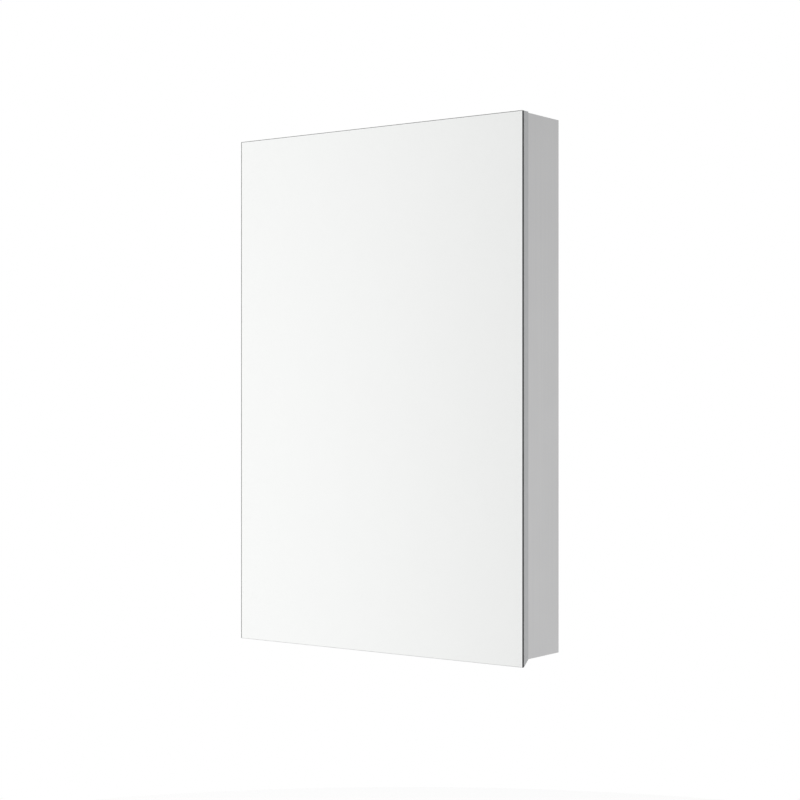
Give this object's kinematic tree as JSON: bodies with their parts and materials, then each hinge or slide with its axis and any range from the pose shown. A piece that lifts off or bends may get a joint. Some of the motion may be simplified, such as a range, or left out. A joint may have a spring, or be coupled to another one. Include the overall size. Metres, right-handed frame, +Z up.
{
  "type": "medicine cabinet",
  "caption": "Surface-mounted mirror cabinet: a frameless mirrored door on concealed cup hinges over a shallow body of aluminium profiles with glass shelves.",
  "frame": {"origin": "centre of the wall bolts, on the wall plane", "axes": "+Z up, -Y out of the wall towards the user, +X to the right as seen from the front; the door is hinged at -X"},
  "size_m": [0.508, 0.0998, 0.762],
  "materials": {
    "anodised_aluminium": "satin clear anodised, fine grain along the profile",
    "back_sheet": "matt white-grey powder coat",
    "galvanised_steel": "galvanised, faint spangle",
    "cast_zinc": "as cast",
    "rivet_aluminium": "bright",
    "mirror_glass": "silvered float glass with ground edges",
    "shelf_glass": "clear float glass, green edges",
    "clear_plastic": "clear",
    "nickel_steel": "nickel plated",
    "zinc_plated": "zinc plated",
    "screw_steel": "zinc plated",
    "spring_steel": "oiled",
    "lacquered_panel": "fibreboard with satin grey lacquer",
    "bumper_plastic": "soft, translucent"
  },
  "bodies": {
    "cabinet": {"left_side": "anodised_aluminium", "right_side": "anodised_aluminium", "top_side": "anodised_aluminium", "bottom_side": "anodised_aluminium", "corner_keys": "cast_zinc", "back_panel": "back_sheet", "back_rivets": "rivet_aluminium", "upper_rail": "galvanised_steel", "lower_rail": "galvanised_steel", "rail_rivets": "rivet_aluminium", "back_mirror": "mirror_glass", "shelf_low": "shelf_glass", "shelf_middle": "shelf_glass", "shelf_high": "shelf_glass", "shelf_pins": "clear_plastic", "hinge_plates": "nickel_steel", "plate_screws": "screw_steel", "hinge_arms": "nickel_steel", "arm_pins": "zinc_plated", "arm_screws": "screw_steel", "closing_springs": "spring_steel"},
    "outer_links": {"outer_links": "zinc_plated"},
    "inner_links": {"inner_links": "zinc_plated"},
    "door": {"door_panel": "lacquered_panel", "front_mirror": "mirror_glass", "inner_mirror": "mirror_glass", "hinge_cups": "nickel_steel", "cup_pins": "zinc_plated", "cup_studs": "zinc_plated", "cup_screws": "screw_steel", "door_bumpers": "bumper_plastic"}
  },
  "joints": [
    {"name": "link_swing", "type": "hinge", "parent": "cabinet", "child": "outer_links", "pos_m": [-0.2264, -0.0785, 0], "axis": [0, 0, -1], "range_deg": [-28.6, 0]},
    {"name": "inner_link_swing", "type": "hinge", "parent": "cabinet", "child": "inner_links", "pos_m": [-0.2184, -0.0715, 0], "axis": [0, 0, -1], "range_deg": [-33.4, 0]},
    {"name": "door_swing", "type": "hinge", "parent": "outer_links", "child": "door", "pos_m": [-0.2459, -0.0895, 0], "axis": [0, 0, -1], "range_deg": [0, 123.5]}
  ],
  "couplings": [
    {"joint": "link_swing", "follows": "door_swing", "ratio": -0.23077},
    {"joint": "inner_link_swing", "follows": "door_swing", "ratio": -0.26923}
  ]
}
